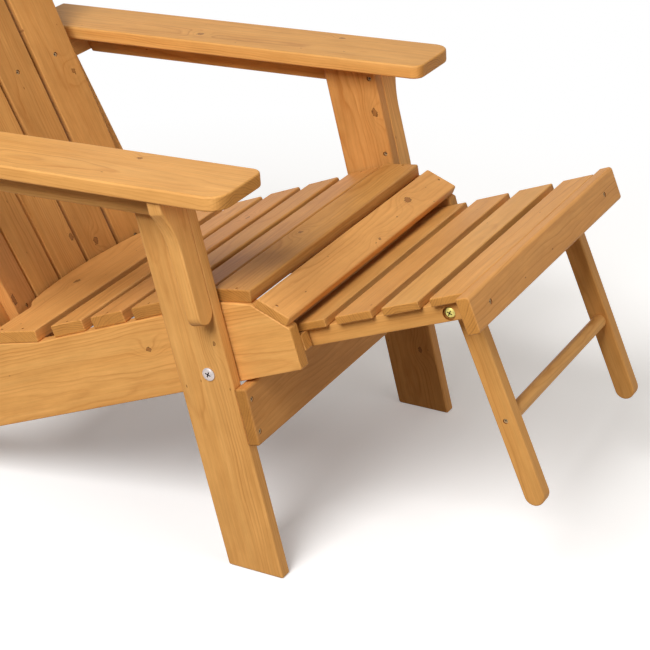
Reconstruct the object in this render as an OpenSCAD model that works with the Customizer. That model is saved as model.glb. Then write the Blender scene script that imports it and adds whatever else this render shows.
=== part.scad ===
// Adirondack chair with a pull-out ottoman on folding legs.
// Every piece is drawn in one frame: +X to the sitter's left, -Y to the front, +Z up.

/* [Seat frame] */
// Length of a seat slat, flush with the stringers' outer faces
seat_width = 500; // [440:5:560]
// Thickness of the stringers, front legs, arms and arm brackets
board_t = 20; // [18:1:24]
// Height of the stringers' top edge at the knee, where the seat begins to fall
knee_height = 389; // [360:1:420]
// Fall of the seat towards the back, in degrees
seat_slope = 22.1; // [20:0.1:23]
// Depth of a stringer, square to the seat
stringer_depth = 111; // [100:1:120]
// Length of the nearly level facet in front of the knee
level_facet = 45.2; // [42:0.1:50]
// Fall of the level facet towards the back, in degrees
level_slope = 8.3; // [6:0.1:11]
// Length of the nose facet that falls to the front
nose_facet = 62; // [58:1:70]
// Fall of the nose facet towards the front, in degrees
nose_slope = 21.5; // [16:0.1:24]
// Lean of the stringers' front ends from upright, in degrees
front_cut = 16.2; // [12:0.1:20]
// Distance from the knee to the rear end of the stringers
stringer_reach = 773; // [750:1:800]

/* [Seat slats] */
// Width of a plain seat slat
slat_w = 57.5; // [50:0.5:62]
// Thickness of a seat slat
slat_t = 18; // [15:1:20]
// How far the plain slats' ends stop short of the stringers' outer faces
slat_inset = 4; // [0:0.5:6]
// Gap between the plain seat slats
slat_gap = 16.7; // [12:0.1:20]
// Number of plain slats on the falling part of the seat
plain_slats = 4; // [4]
// Width of the slat on the nose
nose_slat_w = 51; // [46:1:54]
// Thickness of the slat on the nose
nose_slat_t = 14; // [12:1:16]
// Slope of the rear slat's seat on the stringers, in degrees
rear_slope = 14; // [11:0.5:16]
// Distance from the knee to the rear slat's seat
rear_slat_y = 304; // [300:1:310]
// How far the rear slat's wings stop short of its middle
wing_step = 31; // [24:1:36]
// Half the width of the rear slat's curved tongue
tongue_half = 133; // [125:1:145]
// Width over which the tongue's shoulders ease into the wings
shoulder_w = 30; // [20:1:40]
// How far the nose slat's front edge stops short of the stringers' corners
nose_step = 5; // [3:0.5:8]
// Gap between the knee and the first plain slat
knee_gap = 19; // [14:0.5:22]
// Radius of the slats' rounded long edges
slat_edge_r = 3; // [1:0.5:5]

/* [Front legs and arms] */
// Width of a front leg
leg_w = 84; // [74:1:92]
// Lean of the front legs, in degrees
leg_rake = 12.8; // [9:0.1:15]
// Distance from the knee forward to the front legs' toes on the floor
leg_toe = 90; // [80:1:100]
// Gap that the washer keeps between a stringer and its leg
washer_t = 1.5; // [1:0.1:2.5]
// Height of the apron board
apron_h = 83; // [70:1:90]
// Thickness of the apron board
apron_t = 17.5; // [15:0.5:20]
// Distance along the legs from the floor to the apron's lower edge
apron_up = 202; // [180:1:206]
// Width of an arm
arm_w = 110; // [95:1:125]
// Overall width, across the arms' outer edges
overall_w = 660; // [640:5:680]
// Height of the arms' underside at their front ends
arm_height = 553.5; // [530:0.5:575]
// Fall of the arms towards the back, in degrees
arm_slope = 1.9; // [0:0.1:3]
// Distance from the knee forward to the arms' front ends
arm_front = 58; // [40:1:80]
// Length of an arm
arm_len = 701; // [695:1:740]
// Radius of the arms' outer front corner
arm_outer_r = 26; // [15:1:45]
// Radius of the arms' inner front corner
arm_inner_r = 16; // [8:1:30]
// Height of the rail under each arm
arm_rail_h = 35; // [28:1:42]
// How far a rail stops short of its arm's rear end
arm_rail_inset = 5; // [2:1:12]
// Width of an arm bracket below its flare
bracket_w = 34; // [28:0.5:40]
// Width of an arm bracket under the arm
bracket_top_w = 53; // [46:1:56]
// Length of an arm bracket along the leg
bracket_len = 183; // [160:1:195]
// Radius of the cove that flares the bracket to its top
cove_r = 118; // [95:1:140]
// Distance of a bracket's upper screw below the arm
bracket_screw_high = 20; // [16:1:30]
// Distance of a bracket's lower screw below the arm
bracket_screw_low = 136.5; // [120:0.5:145]
// Distance of the cove's lower end below the arm
bracket_cove = 82; // [76:1:92]

/* [Back] */
// Lean of the back from upright, in degrees
recline = 27; // [24:0.5:29]
// Distance from the knee to the back's front face at the seat
back_y = 413; // [407:1:419]
// Radius of the back's curve across the chair
back_curve = 590; // [540:5:800]
// Distance between the back slats' middles at the seat
back_pitch = 71.6; // [66:0.1:72]
// Gap between the back slats at the seat
back_slat_gap = 6.5; // [4:0.5:9]
// Growth of each back slat's width over its length, as a share of the length
back_fan = 0.025; // [0.01:0.001:0.03]
// Thickness of a back slat
back_slat_t = 18; // [15:1:20]
// Height of the back above the seat, along its slope
back_len = 772; // [720:1:820]
// Length of the back slats below the seat
back_tail = 60; // [50:1:70]
// Radius of the arch across the back's top
arch_r = 420; // [340:5:600]
// Width of a back stile
stile_w = 51; // [44:0.5:56]
// Distance from the outer slat's middle line to the stile
stile_in = 14; // [10:0.5:18]
// Thickness of a back stile
stile_t = 20; // [16:1:22]
// Height of the stiles above the seat, along their slope
stile_len = 610; // [560:5:650]
// Depth of the cross bars behind the back, at their ends
bar_depth = 35; // [30:1:40]
// Distance from the back's curve to the bars' flat front faces, in the middle of the chair
bar_front = 5; // [3:0.5:8]
// Height of the lower bar
lower_bar_h = 84; // [74:1:90]
// Height of the lower bar's top above the seat
lower_bar_up = 30; // [24:1:36]
// Height of the bar that carries the arms, below their undersides
arm_bar_h = 34; // [28:1:40]
// How far the arm bar stops short of the arms' outer edges
arm_bar_inset = 10; // [5:1:20]
// Height of the upper batten
batten_h = 48; // [40:1:52]
// Length of the upper batten
batten_len = 410; // [390:5:420]

/* [Ottoman] */
// Slope of the ottoman and of its guide cleats, in degrees
ottoman_slope = 21.4; // [20.5:0.1:22]
// Travel of the ottoman on its cleats
ottoman_travel = 240; // [200:5:250]
// How far the ottoman's top lies under the stringers' front corners
ottoman_drop = 5; // [4:0.5:9]
// Width of a plain ottoman slat
ottoman_slat_w = 55; // [48:1:58]
// Width of the slat behind the end board
end_slat_w = 49.5; // [46:0.5:54]
// Thickness of an ottoman slat
ottoman_slat_t = 11.5; // [10:0.5:13]
// Gap between ottoman slats
ottoman_gap = 17; // [12:0.5:20]
// Gap between the ottoman slats' ends and the stringers
ottoman_side_gap = 12; // [10:1:14]
// Height of the end board
end_board_h = 49; // [42:1:54]
// Thickness of the end board
end_board_t = 19; // [16:1:22]
// Radius of the end board's front edges
end_board_r = 5; // [3:0.5:7]
// How far the end board stops short of the stringers' outer faces
end_board_inset = 10; // [5:1:18]
// Width of an ottoman rail
rail_w = 33; // [28:1:36]
// Height of an ottoman rail
rail_h = 25.3; // [24:0.1:30]
// Length of an ottoman rail
rail_len = 410; // [380:5:420]
// Gap between a rail's outer face and its guide cleat
rail_gap = 3.3; // [2:0.1:5]
// Width of a guide cleat
cleat_w = 18; // [15:1:20]
// Height of a guide cleat
cleat_h = 22.5; // [18:0.5:28]

/* [Ottoman legs] */
// Width of an ottoman leg
ottoman_leg_w = 29; // [26:1:30]
// Thickness of an ottoman leg
ottoman_leg_t = 20; // [16:1:22]
// Distance from an ottoman leg's pivot to the middle of its round foot
ottoman_leg_len = 277; // [240:1:285]
// Lean of the ottoman legs from upright, in degrees
ottoman_leg_rake = 22.4; // [21:0.1:24]
// Distance from the end board's rear face back to the pivots
pivot_back = 34; // [29:0.5:37]
// Distance along an ottoman leg from its pivot to the dowel
dowel_down = 167.5; // [120:0.5:240]
// Diameter of the dowel between the ottoman legs
dowel_d = 20; // [16:1:22]

/* [Hardware] */
// Diameter of the bolts through the front legs
leg_bolt_d = 8; // [6:1:10]
// Diameter of the leg bolts' heads
leg_bolt_head = 18.5; // [15:0.5:20]
// Distance of the leg bolts behind the knee
bolt_y = 10.3; // [6:0.1:16]
// Height of the leg bolts
bolt_z = 292.8; // [285:0.1:300]
// Diameter of the ottoman's pivot bolts
pivot_d = 6; // [5:0.5:8]
// Diameter of the pivot bolts' heads
pivot_head = 14.5; // [12:0.5:15]
// Diameter of the counterbores that hold the pivot bolts' heads
counterbore_d = 18; // [16.5:0.5:19]
// Depth of those counterbores
counterbore_t = 4; // [3.5:0.5:6]
// Diameter of a wood screw's head
screw_head = 7; // [6:0.5:8]
// Depth of a wood screw's head below the wood's face
screw_sink = 2.5; // [1.5:0.5:3.5]
// Diameter of a wood screw's shank
screw_d = 4; // [3:0.5:5]
// Diameter of a nail's head
nail_head = 3.5; // [3:0.1:4.5]
// Diameter of a nail's shank
nail_d = 2.4; // [2:0.1:2.8]
// Depth of a nail's head below the wood's face
nail_sink = 1; // [0.5:0.1:1.5]
// How far a nail goes into the stringer
nail_hold = 20; // [15:1:30]

/* [Fits] */
// Gap between sliding faces
slide_clear = 0.3; // [0.2:0.05:0.6]
// Radial clearance of a pivot bolt in its leg
pivot_clear = 0.08; // [0.05:0.01:0.1]
// Radial clearance of a fixed screw or bolt in its hole
screw_clear = 0.05; // [0.02:0.01:0.1]
// Gap between the rear seat slat and the back
back_gap = 2.5; // [1.5:0.5:5]
// Gap between the pushed-in end board and the stringers
stop_gap = 3; // [1:0.5:6]

/* [Hidden] */
$fn = 48;

// How far a cut passes the wood's face, so that no skin is left
past = 1;
pine = [0.83, 0.62, 0.36];
pine_dark = [0.76, 0.54, 0.30];
steel = [0.78, 0.78, 0.80];
yellow_zinc = [0.80, 0.70, 0.36];

far = 2000;
seat_half = seat_width / 2;
stringer_in = seat_half - board_t;
leg_in = seat_half + washer_t;
leg_out = leg_in + board_t;
arm_inner = overall_w / 2 - arm_w;

// Corners of the stringers' top edge, as [y, z] with the knee at y = 0
knee = [0, knee_height];
facet_front = knee + level_facet * [-cos(level_slope), sin(level_slope)];
nose_tip = facet_front + nose_facet * [-cos(nose_slope), -sin(nose_slope)];
function seat_z(y) = knee_height - y * tan(seat_slope);
rear_seat = [rear_slat_y, seat_z(rear_slat_y)];
function rear_z(y) = rear_seat[1] - (y - rear_slat_y) * tan(rear_slope);
function under_z(y) = seat_z(y) - stringer_depth / cos(seat_slope);
heel_y = knee_height / tan(seat_slope) - stringer_depth / sin(seat_slope);
front_drop = (nose_tip[1] - under_z(nose_tip[0]))
    / (cos(front_cut) + tan(seat_slope) * sin(front_cut));
front_foot = nose_tip - front_drop * [sin(front_cut), cos(front_cut)];

// The back's frame starts where its front face meets the rear slat's underside; its z runs up the back
back_origin = [0, back_y, rear_z(back_y)];
rear_slat_len = (back_y - rear_slat_y) / cos(rear_slope) - back_gap;
// Height up the back at which the arms' undersides meet the bars' front faces
arm_bar_up = (arm_height - back_origin[2] + bar_front * sin(recline)
    - (back_y + bar_front * cos(recline) + arm_front) * tan(arm_slope))
    / (cos(recline) + sin(recline) * tan(arm_slope));

// The ottoman's frame starts at the stringers' front top corners; its y runs back down the slope
ottoman_top = -ottoman_drop;
ottoman_under = ottoman_top - ottoman_slat_t;
ottoman_half = stringer_in - ottoman_side_gap;
cleat_in = stringer_in - cleat_w;
rail_out = cleat_in - rail_gap;
rail_in = rail_out - rail_w;
end_board_y = -ottoman_travel - stop_gap;
pivot_y = end_board_y + pivot_back;
pivot_drop = ottoman_leg_w / 2 + slide_clear;
pivot_z = ottoman_under - pivot_drop;
spacer_t = 2.2;
ottoman_leg_out = rail_in - spacer_t - slide_clear;
ottoman_leg_in = ottoman_leg_out - ottoman_leg_t;
pivot = [0,
    nose_tip[0] + pivot_y * cos(ottoman_slope) + pivot_z * sin(ottoman_slope),
    nose_tip[1] - pivot_y * sin(ottoman_slope) + pivot_z * cos(ottoman_slope)];
foot_r = ottoman_leg_w / 2;
foot_y = pivot[1] - ottoman_leg_len * sin(ottoman_leg_rake);

// The origin is under the middle of the whole chair
back_top_y = back_y + back_len * sin(recline) + back_slat_t * cos(recline);
middle_y = (foot_y - foot_r + max(back_top_y, stringer_reach)) / 2;

// ---- frames and helpers ----
module placed() { translate([0, -middle_y, 0]) children(); }
module both_sides() { children(); mirror([1, 0, 0]) children(); }
module side(s) { mirror([s > 0 ? 0 : 1, 0, 0]) children(); }
module leg_frame() { translate([0, -leg_toe, 0]) rotate([-leg_rake, 0, 0]) children(); }
module arm_frame() { translate([0, -arm_front, arm_height]) rotate([-arm_slope, 0, 0]) children(); }
module back_frame() { translate(back_origin) rotate([-recline, 0, 0]) children(); }
module ottoman_frame() {
    translate([0, nose_tip[0], nose_tip[1]]) rotate([-ottoman_slope, 0, 0]) children();
}
// Extrudes a [y, z] outline across the chair from x0 to x1
module across(x0, x1) { translate([x0, 0, 0]) rotate([90, 0, 90]) linear_extrude(x1 - x0) children(); }
module block(lo, hi) { translate(lo) cube(hi - lo); }
module above_arms() { arm_frame() block([-far, -far, 0], [far, far, far]); }

// A board's [y, z] section from y = 0 to w with both top edges rounded
module board_section(w, t, r) {
    square([w, t - r]);
    translate([r, 0]) square([w - 2 * r, t]);
    translate([r, t - r]) circle(r);
    translate([w - r, t - r]) circle(r);
}
// A countersunk screw that points down, its head sunk below z = 0; with a clearance, its bored hole
module screw(head, d, length, sink, c) {
    rotate([180, 0, 0]) {
        if (c > 0) translate([0, 0, -past]) cylinder(h = past + sink, r = head / 2 + c);
        translate([0, 0, sink]) cylinder(h = head / 2 - d / 4, r1 = head / 2 + c, r2 = d / 2 + c);
        translate([0, 0, sink]) cylinder(h = length - sink + c, r = d / 2 + c);
    }
}
module wood_screw(length, c) { screw(screw_head, screw_d, length, screw_sink, c); }

// ---- seat ----
// How far the rear slat's seat runs on behind the back's front face
wedge_past = 2;
module stringer_outline() {
    wedge_end = [back_y + wedge_past, rear_z(back_y + wedge_past)];
    polygon([
        front_foot, nose_tip, facet_front, knee, rear_seat, wedge_end,
        [wedge_end[0], seat_z(wedge_end[0])],
        [stringer_reach, seat_z(stringer_reach)], [stringer_reach, 0], [heel_y, 0],
    ]);
}
module stringer(s) {
    color(pine_dark) side(s) difference() {
        across(stringer_in, seat_half) stringer_outline();
        seat_nail_set(screw_clear);
        leg_bolt_hole(screw_clear);
        tee_nut_shape(screw_clear);
    }
}
// Frame of a seat slat: its front lower edge, its slope and its width, first slat at the back
function slat_s(i) = rear_edge_s() - (i + 1) * slat_w - i * slat_gap;
function rear_edge_s() = knee_gap + plain_slats * slat_w + (plain_slats - 1) * slat_gap;
module plain_slat_frame(i) {
    translate([0, knee[0], knee[1]]) rotate([-seat_slope, 0, 0]) translate([0, slat_s(i), 0]) children();
}
module level_slat_frame() {
    translate([0, facet_front[0], facet_front[1]]) rotate([-level_slope, 0, 0]) children();
}
module nose_slat_frame() {
    translate([0, facet_front[0], facet_front[1]]) rotate([nose_slope, 0, 0])
        translate([0, nose_step - nose_facet, 0]) children();
}
module rear_slat_frame() {
    translate([0, rear_seat[0], rear_seat[1]]) rotate([-rear_slope, 0, 0]) children();
}
// Rear edge of the rear slat: an arc that follows the back, easing to straight wings
function ease(t) = t <= 0 ? 0 : t >= 1 ? 1 : t * t * (3 - 2 * t);
function sag(x) = back_curve - sqrt(back_curve * back_curve - x * x);
function rear_edge(x) = let (e = ease((abs(x) - tongue_half) / shoulder_w))
    rear_slat_len - (1 - e) * sag(min(abs(x), tongue_half + shoulder_w)) - e * wing_step;
module rear_slat_shape() {
    steps = 40;
    linear_extrude(slat_t) polygon(concat(
        [[seat_half, 0], [-seat_half, 0]],
        [for (k = [-steps:steps]) [k * seat_half / steps, rear_edge(k * seat_half / steps)]]
    ));
}
module seat_slat(i) {
    color(pine) difference() {
        if (i == 1) rear_slat_frame() rear_slat_shape();
        else if (i <= plain_slats + 1) plain_slat_frame(i - 2)
            across(slat_inset - seat_half, seat_half - slat_inset) board_section(slat_w, slat_t, slat_edge_r);
        else if (i == plain_slats + 2) level_slat_frame()
            across(slat_inset - seat_half, seat_half - slat_inset) board_section(slat_w, slat_t, slat_edge_r);
        else nose_slat_frame()
            across(-seat_half, seat_half) board_section(nose_slat_w, nose_slat_t, slat_edge_r);
        both_sides() seat_nail(i, screw_clear);
    }
}
// The nails at one end of seat slat i
module seat_nail(i, c) {
    x = seat_half - board_t / 2;
    if (i == 1) rear_slat_frame() for (y = [slat_w / 2, rear_slat_len - 3 * slat_w / 4])
        translate([x, y, slat_t]) nail(slat_t, c);
    else if (i <= plain_slats + 1) plain_slat_frame(i - 2)
        translate([x, slat_w / 2, slat_t]) nail(slat_t, c);
    else if (i == plain_slats + 2) level_slat_frame() translate([x, level_facet / 2, slat_t]) nail(slat_t, c);
    else nose_slat_frame() translate([x, nose_slat_w / 2, nose_slat_t]) nail(nose_slat_t, c);
}
module nail(through, c) { screw(nail_head, nail_d, through + nail_hold, nail_sink, c); }
module seat_nail_set(c) { for (i = [1:plain_slats + 3]) seat_nail(i, c); }
module seat_nails() { color(steel) both_sides() seat_nail_set(0); }

// ---- front legs, apron and arms ----
module on_bolt(x) { translate([x, bolt_y, bolt_z]) rotate([0, 90, 0]) children(); }
module leg_bolt_hole(c) {
    on_bolt(stringer_in - past) cylinder(h = leg_out - stringer_in + 2 * past, d = leg_bolt_d + 2 * c);
}
// A tee nut: a round plate let into the stringer and the threaded barrel behind it
tee_plate_t = 2;
tee_plate_d = 20;
tee_len = 12;
tee_wall = 1.5;
module tee_nut_shape(c) {
    on_bolt(stringer_in) cylinder(h = tee_plate_t + c, d = tee_plate_d + 2 * c);
    on_bolt(stringer_in) cylinder(h = tee_len + c, d = leg_bolt_d + 2 * tee_wall + 2 * c);
}
module front_leg(s) {
    color(pine) side(s) difference() {
        leg_frame() block([leg_in, 0, -leg_w], [leg_out, leg_w, arm_height + leg_w]);
        translate([0, 0, -far]) cube([far, far, far]);
        translate([0, -far, -far]) cube([far, far, far]);
        above_arms();
        leg_bolt_hole(screw_clear);
        apron_screw_set(screw_clear);
        bracket_screw_set(screw_clear);
    }
}
module apron() {
    color(pine_dark) difference() {
        leg_frame() block([-leg_out, -apron_t, apron_up], [leg_out, 0, apron_up + apron_h]);
        both_sides() apron_screw_set(screw_clear);
    }
}
module apron_screw_set(c) {
    for (up = [apron_screw_edge, apron_h - apron_screw_edge])
        leg_frame() translate([leg_in + board_t / 2, -apron_t, apron_up + up]) rotate([90, 0, 0])
            wood_screw(apron_t + apron_screw_hold, c);
}
apron_screw_edge = 18;
apron_screw_hold = 28;
module apron_screws() { color(steel) both_sides() apron_screw_set(0); }
module arm(s) {
    color(pine) side(s) arm_frame() difference() {
        linear_extrude(board_t) translate([arm_inner, 0]) difference() {
            square([arm_w, arm_len]);
            rounded_waste(arm_inner_r);
            translate([arm_w, 0]) mirror([1, 0]) rounded_waste(arm_outer_r);
        }
    }
}
// What rounding takes from a plate's corner at the origin
module rounded_waste(r) {
    difference() {
        translate([-1, -1]) square(r + 1);
        translate([r, r]) circle(r);
    }
}
// Distance along the legs from the floor to the arms' undersides at their front ends
leg_top = arm_height / cos(leg_rake);
module arm_bracket(s) {
    low = leg_top - bracket_len;
    cove_up = leg_top - bracket_cove;
    color(pine_dark) side(s) difference() {
        leg_frame() translate([leg_out, board_t, 0]) rotate([90, 0, 0]) linear_extrude(board_t) difference() {
            translate([0, low]) square([bracket_top_w, bracket_len + leg_w]);
            // the long outer edge and the cove that flares it
            translate([bracket_w, low - past]) square([bracket_top_w, cove_up - low + past]);
            translate([bracket_w + cove_r, cove_up]) circle(cove_r);
            translate([bracket_w, low]) rotate(90) rounded_waste(bracket_w / 2);
            translate([0, low]) rounded_waste(bracket_w / 2);
        }
        above_arms();
        bracket_screw_set(screw_clear);
    }
}
// Two screws hold each bracket from inside its leg
module bracket_screw_set(c) {
    for (drop = [bracket_screw_high, bracket_screw_low])
        leg_frame() translate([leg_in, board_t / 2, leg_top - drop]) rotate([0, -90, 0])
            wood_screw(board_t + bracket_w / 2, c);
}
module bracket_screws() { color(steel) both_sides() bracket_screw_set(0); }
module arm_rail(s) {
    color(pine_dark) side(s) difference() {
        arm_frame() block([leg_out, 0, -arm_rail_h], [leg_out + board_t, arm_len - arm_rail_inset, 0]);
        leg_frame() block([0, -far, -far], [far, board_t, far]);
        back_frame() block([0, bar_front, -far], [far, far, far]);
    }
}

// ---- back ----
function slat_angle(k) = k * back_pitch / back_curve * 180 / PI;
// Turns about the curve's centre, which lies in front of the back
module on_curve(k) {
    translate([0, -back_curve, 0]) rotate([0, 0, -slat_angle(k)]) translate([0, back_curve, 0]) children();
}
function fan_angle(k) = atan(k * back_fan);
// A slat before its ends are cut: its width grows with height z
function slat_half(z) = (back_pitch - back_slat_gap + z * back_fan) / 2;
module slat_blank(k) {
    low = -2 * back_tail;
    high = back_len + back_tail;
    on_curve(k) rotate([90, 0, 0]) rotate([0, 0, -fan_angle(k)]) translate([0, 0, -back_slat_t])
        linear_extrude(back_slat_t)
            polygon([
                [-slat_half(low), low], [slat_half(low), low],
                [slat_half(high), high], [-slat_half(high), high],
            ]);
}
module back_slat(i) {
    k = i - 3;
    color(pine) back_frame() difference() {
        intersection() {
            slat_blank(k);
            union() {
                translate([0, far / 2, back_len - arch_r]) rotate([90, 0, 0])
                    cylinder(h = far, r = arch_r, $fn = 180);
                block([-far, -far, -back_tail], [far, far, back_len - arch_r]);
            }
        }
        back_screw_pair(k, screw_clear);
    }
}
module stile_blank(low, high) {
    on_curve(2) block([stile_in, back_slat_t, low], [stile_in + stile_w, back_slat_t + stile_t, high]);
}
module back_stile(s) {
    color(pine_dark) side(s) back_frame() difference() {
        stile_blank(-back_tail, stile_len);
        for (k = [1, 2]) back_screw_pair(k, screw_clear);
    }
}
// A cross bar with a front face that seats on the slats and the stiles
module back_bar(half_len, low, high) {
    back_frame() difference() {
        block([-half_len, bar_front, low], [half_len, bar_front + bar_depth, high]);
        for (k = [-2:2]) slat_back_space(k);
        both_sides() stile_blank(-far, far);
        for (k = [-2:2]) back_screw_pair(k, screw_clear);
    }
}
// Everything in front of slat k's back, over its full pitch
module slat_back_space(k) {
    half = (back_pitch + back_fan * back_len) / 2;
    on_curve(k) rotate([0, fan_angle(k), 0])
        block([-half, -back_curve, -2 * back_tail], [half, back_slat_t, back_len]);
}
module back_lower_bar() { color(pine_dark) back_bar(stringer_in, lower_bar_up - lower_bar_h, lower_bar_up); }
module back_upper_batten() { color(pine_dark) back_bar(batten_len / 2, stile_len - batten_h, stile_len); }
module arm_bar() {
    color(pine_dark) difference() {
        back_bar(arm_inner + arm_w - arm_bar_inset, arm_bar_up - arm_bar_h, arm_bar_up + bar_depth);
        above_arms();
    }
}
lower_screw_up = 11.6;
back_screw_heights = [lower_screw_up, arm_bar_up - arm_bar_h / 2, stile_len - batten_h / 2];
back_screw_hold = 14;
module back_screw_pair(k, c) {
    for (up = back_screw_heights)
        on_curve(k) rotate([0, fan_angle(k), 0]) translate([0, 0, up]) rotate([90, 0, 0])
            wood_screw(back_slat_t + back_screw_hold, c);
}
module back_screws() { color(steel) back_frame() for (k = [-2:2]) back_screw_pair(k, 0); }

// ---- hardware of the frame ----
// A bolt's head is a thin disc with a sloped crown
bolt_rim_t = 1.5;
bolt_crown = 1.2;
crown_in = 2 * bolt_crown;
module leg_bolts() {
    color(steel) both_sides() {
        on_bolt(stringer_in + past) cylinder(h = leg_out - stringer_in - past, d = leg_bolt_d);
        on_bolt(leg_out) cylinder(h = bolt_rim_t, d = leg_bolt_head);
        on_bolt(leg_out + bolt_rim_t)
            cylinder(h = bolt_crown, d1 = leg_bolt_head, d2 = leg_bolt_head - 2 * crown_in);
    }
}
// A large washer is three times as wide as its bolt
washer_ratio = 3;
module leg_washers() {
    color(steel) both_sides() difference() {
        on_bolt(seat_half) cylinder(h = washer_t, d = washer_ratio * leg_bolt_d);
        leg_bolt_hole(screw_clear);
    }
}
module tee_nuts() {
    color(steel) both_sides() difference() {
        tee_nut_shape(0);
        on_bolt(stringer_in - past) cylinder(h = tee_len + 2 * past, d = leg_bolt_d + 2 * screw_clear);
    }
}

// ---- ottoman ----
// The cleats begin just behind the stringers' front corners
cleat_start = 2;
module guide_cleat(s) {
    color(pine_dark) side(s) ottoman_frame()
        block([cleat_in, cleat_start, ottoman_under - slide_clear - cleat_h],
            [stringer_in, cleat_start + rail_len + stop_gap, ottoman_under - slide_clear]);
}
module ottoman_rail(s) {
    color(pine_dark) side(s) difference() {
        ottoman_frame() difference() {
            block([rail_in, end_board_y, ottoman_under - rail_h],
                [rail_out, end_board_y + rail_len, ottoman_under]);
            on_pivot(rail_in - past) cylinder(h = rail_w + 2 * past, d = pivot_d + 2 * screw_clear);
            on_pivot(rail_out - counterbore_t) cylinder(h = counterbore_t + past, d = counterbore_d);
            end_screw(screw_clear);
        }
    }
}
// A thin board across the rails, its front edge at y
module rail_board(y, w) {
    color(pine) ottoman_frame() translate([0, y, ottoman_under])
        across(-ottoman_half, ottoman_half) board_section(w, ottoman_slat_t, thin_edge_r);
}
thin_edge_r = 2;
// Slat 5 stands against the end board, and slat 1 lies hidden under the nose
module ottoman_slat(i) {
    if (i == 5) rail_board(end_board_y, end_slat_w);
    else rail_board(end_board_y + end_slat_w + ottoman_gap + (4 - i) * (ottoman_slat_w + ottoman_gap),
        ottoman_slat_w);
}
module ottoman_rear_bar() { rail_board(end_board_y + rail_len - ottoman_slat_w, ottoman_slat_w); }
module end_board() {
    half = seat_half - end_board_inset;
    r = end_board_r;
    color(pine) ottoman_frame() difference() {
        across(-half, half) translate([end_board_y - end_board_t, ottoman_top - end_board_h]) {
            translate([0, r]) square([end_board_t, end_board_h - 2 * r]);
            translate([r, 0]) square([end_board_t - r, end_board_h]);
            for (z = [r, end_board_h - r]) translate([r, z]) circle(r);
        }
        both_sides() end_screw(screw_clear);
    }
}
end_screw_drop = 14;
end_screw_hold = 12;
module end_screw(c) {
    translate([(rail_in + rail_out) / 2, end_board_y - end_board_t, ottoman_under - end_screw_drop])
        rotate([90, 0, 0]) wood_screw(end_board_t + end_screw_hold, c);
}
module end_board_screws() { color(steel) ottoman_frame() both_sides() end_screw(0); }
module on_pivot(x) { translate([x, pivot_y, pivot_z]) rotate([0, 90, 0]) children(); }
pivot_seat = rail_out - counterbore_t;
nut_t = 5;
nut_washer_t = 1.5;
nut_room = 1.5;
pivot_len = pivot_seat - ottoman_leg_in + nut_t + nut_washer_t + nut_room;
module pivot_bolts() {
    color(yellow_zinc) ottoman_frame() both_sides() {
        on_pivot(pivot_seat - pivot_len) cylinder(h = pivot_len, d = pivot_d);
        on_pivot(pivot_seat) cylinder(h = bolt_rim_t, d = pivot_head);
        on_pivot(pivot_seat + bolt_rim_t)
            cylinder(h = bolt_crown, d1 = pivot_head, d2 = pivot_head - 2 * crown_in);
    }
}
spacer_ratio = 2.6;
module pivot_spacers() {
    color(yellow_zinc) ottoman_frame() both_sides() difference() {
        on_pivot(rail_in - spacer_t) cylinder(h = spacer_t, d = spacer_ratio * pivot_d);
        on_pivot(rail_in - spacer_t - past) cylinder(h = spacer_t + 2 * past, d = pivot_d + 2 * screw_clear);
    }
}
nut_ratio = 1.9;
nut_washer_ratio = 2.4;
module pivot_nuts() {
    color(yellow_zinc) ottoman_frame() both_sides() difference() {
        on_pivot(ottoman_leg_in - slide_clear - nut_t - nut_washer_t) union() {
            cylinder(h = nut_t, d = nut_ratio * pivot_d, $fn = 6);
            translate([0, 0, nut_t]) cylinder(h = nut_washer_t, d = nut_washer_ratio * pivot_d);
        }
        on_pivot(ottoman_leg_in - 2 * nut_t - nut_washer_t)
            cylinder(h = 3 * nut_t, d = pivot_d + 2 * screw_clear);
    }
}

// ---- ottoman legs ----
module leg_line() {
    // down the leg from its pivot: local -z
    translate(pivot) rotate([-ottoman_leg_rake, 0, 0]) children();
}
// How much steeper the legs stand than the square to the ottoman's slats
head_turn = ottoman_leg_rake - ottoman_slope;
// How far a leg's square head stands above its pivot, and how far it laps the round below
head_top = foot_r * (1 - tan(head_turn));
head_lap = foot_r / 2;
module ottoman_leg(s) {
    color(pine) side(s) difference() {
        leg_line() across(ottoman_leg_in, ottoman_leg_out) {
            // the head is rounded behind and square in front, where it stops under the slat
            circle(foot_r);
            translate([-foot_r, -head_lap]) square([foot_r, head_top + head_lap]);
            translate([-foot_r, -ottoman_leg_len]) square([ottoman_leg_w, ottoman_leg_len]);
            translate([0, -ottoman_leg_len]) circle(foot_r);
        }
        ottoman_frame() on_pivot(ottoman_leg_in - past)
            cylinder(h = ottoman_leg_t + 2 * past, d = pivot_d + 2 * pivot_clear);
        dowel_screw(screw_clear);
    }
}
module leg_dowel() {
    color(pine) difference() {
        leg_line() translate([-ottoman_leg_in, 0, -dowel_down]) rotate([0, 90, 0])
            cylinder(h = 2 * ottoman_leg_in, d = dowel_d);
        both_sides() dowel_screw(screw_clear);
    }
}
dowel_screw_hold = 22;
module dowel_screw(c) {
    leg_line() translate([ottoman_leg_out, 0, -dowel_down]) rotate([0, 90, 0])
        wood_screw(ottoman_leg_t + dowel_screw_hold, c);
}
module dowel_screws() { color(steel) both_sides() dowel_screw(0); }

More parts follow.
